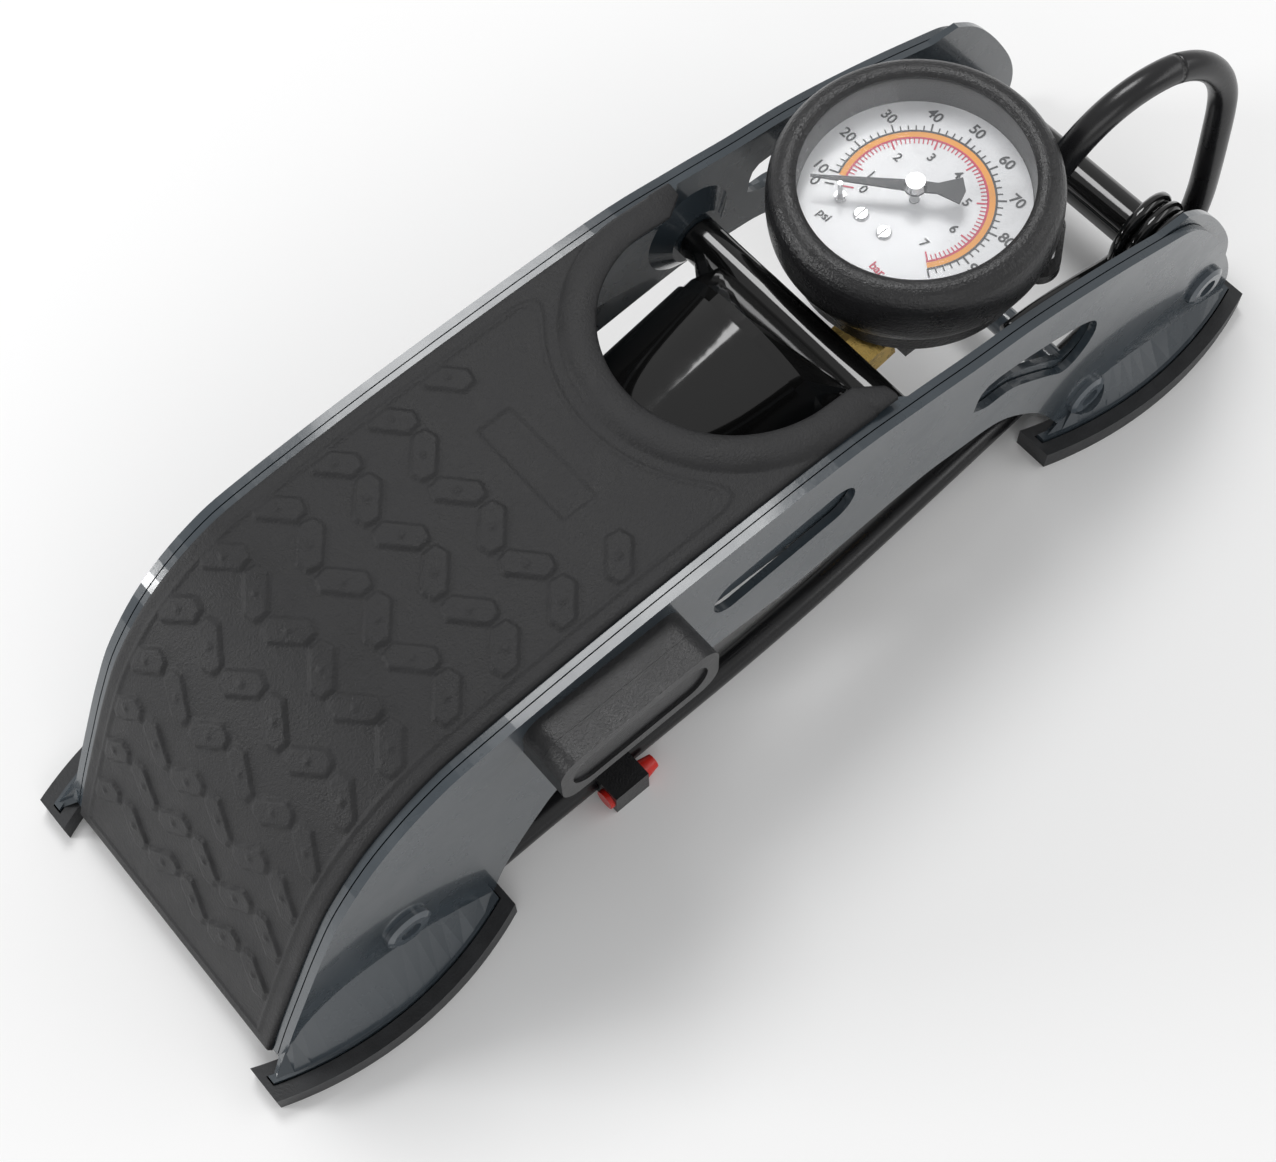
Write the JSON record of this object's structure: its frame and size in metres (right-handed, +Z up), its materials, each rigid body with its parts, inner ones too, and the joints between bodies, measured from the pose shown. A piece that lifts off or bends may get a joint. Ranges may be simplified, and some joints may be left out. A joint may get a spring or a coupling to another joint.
{
  "type": "foot bike pump",
  "caption": "Folding foot pump: pressed side frame, padded pedal over a pivoting barrel, dial pressure gauge, air hose with a thumb-lock chuck.",
  "frame": {"origin": "on the floor, midway between the ends and between the two side plates", "axes": "+X towards the hinge and the gauge, +Y to the left of a user whose foot points from -X, +Z up"},
  "size_m": [0.3193, 0.106, 0.0913],
  "materials": {
    "slate_paint": "glossy slate-grey enamel",
    "shoe_rubber": "satin moulded rubber",
    "pad_rubber": "matte moulded rubber",
    "rivet_paint": "painted over, worn bright at the rims",
    "gloss_black": "deep gloss black enamel",
    "black_plastic": "fine-textured black",
    "bright_steel": "bright plated",
    "polished_steel": "ground and polished",
    "yellow_brass": "yellow-passivated",
    "seal_rubber": "smooth oiled rubber",
    "boot_rubber": "satin with fine grain",
    "hose_rubber": "satin black",
    "dial_white": "white printed dial",
    "clear_lens": "clear",
    "needle_black": "semi-gloss black",
    "red_plastic": "bright red moulding"
  },
  "bodies": {
    "base": {"base_plate_right": "slate_paint", "base_plate_left": "slate_paint", "shoe_front_right": "shoe_rubber", "shoe_front_left": "shoe_rubber", "shoe_rear_right": "shoe_rubber", "shoe_rear_left": "shoe_rubber", "hinge_pin": "rivet_paint", "rear_cross_rod": "rivet_paint", "front_rivets": "rivet_paint", "hinge_spacer": "gloss_black", "return_spring": "gloss_black", "case_box": "black_plastic", "case_rivets": "bright_steel", "air_hose": "hose_rubber", "chuck_body": "black_plastic", "chuck_seal": "seal_rubber", "adaptor_clip": "black_plastic", "nozzle_adaptor": "red_plastic"},
    "pedal": {"pedal_channel": "slate_paint", "pedal_pad": "pad_rubber", "head_pin": "bright_steel"},
    "barrel": {"barrel_tube": "gloss_black", "barrel_head": "gloss_black", "barrel_cap": "gloss_black", "check_valve": "seal_rubber", "outlet_union": "yellow_brass", "gauge_block": "black_plastic", "gauge_case": "black_plastic", "gauge_boot": "boot_rubber", "dial_face": "dial_white", "gauge_lens": "clear_lens", "dial_screws": "bright_steel", "stop_pin": "bright_steel", "bourdon_tube": "yellow_brass"},
    "needle_body": {"needle": "needle_black", "needle_shaft": "bright_steel"},
    "rod": {"piston_rod": "polished_steel", "front_cross_tube": "gloss_black", "piston": "black_plastic", "piston_seal": "seal_rubber"},
    "lid": {"case_lid": "black_plastic"},
    "lever": {"chuck_lever": "black_plastic"}
  },
  "joints": [
    {"name": "pedal_hinge", "type": "hinge", "parent": "base", "child": "pedal", "pos_m": [0.1405, 0, 0.0223], "axis": [0, 1, 0], "range_deg": [0, 45], "deforming": ["return_spring"]},
    {"name": "barrel_pivot", "type": "hinge", "parent": "pedal", "child": "barrel", "pos_m": [0.0363, 0, 0.062], "axis": [0, 1, 0], "range_deg": [-57.1, 0.05]},
    {"name": "rod_slide", "type": "slide", "parent": "barrel", "child": "rod", "axis": [-0.9761, 0, -0.2172], "range_m": [0, 0.07591]},
    {"name": "needle_spin", "type": "hinge", "parent": "barrel", "child": "needle_body", "pos_m": [0.0714, 0, 0.079], "axis": [0.0767, 0, -0.9971], "range_deg": [0, 250], "stiffness_Nm_per_rad": 0.0004},
    {"name": "case_lid_pull", "type": "slide", "parent": "base", "child": "lid", "axis": [0, -1, 0], "range_m": [0, 0.012]},
    {"name": "chuck_lever_hinge", "type": "hinge", "parent": "base", "child": "lever", "pos_m": [0.022, 0.025, 0.0127], "axis": [0, -1, 0], "range_deg": [0, 90]}
  ],
  "couplings": [
    {"joint": "barrel_pivot", "follows": "pedal_hinge", "ratio": -1.2674},
    {"joint": "rod_slide", "follows": "pedal_hinge", "m_per_rad": 0.096402}
  ]
}
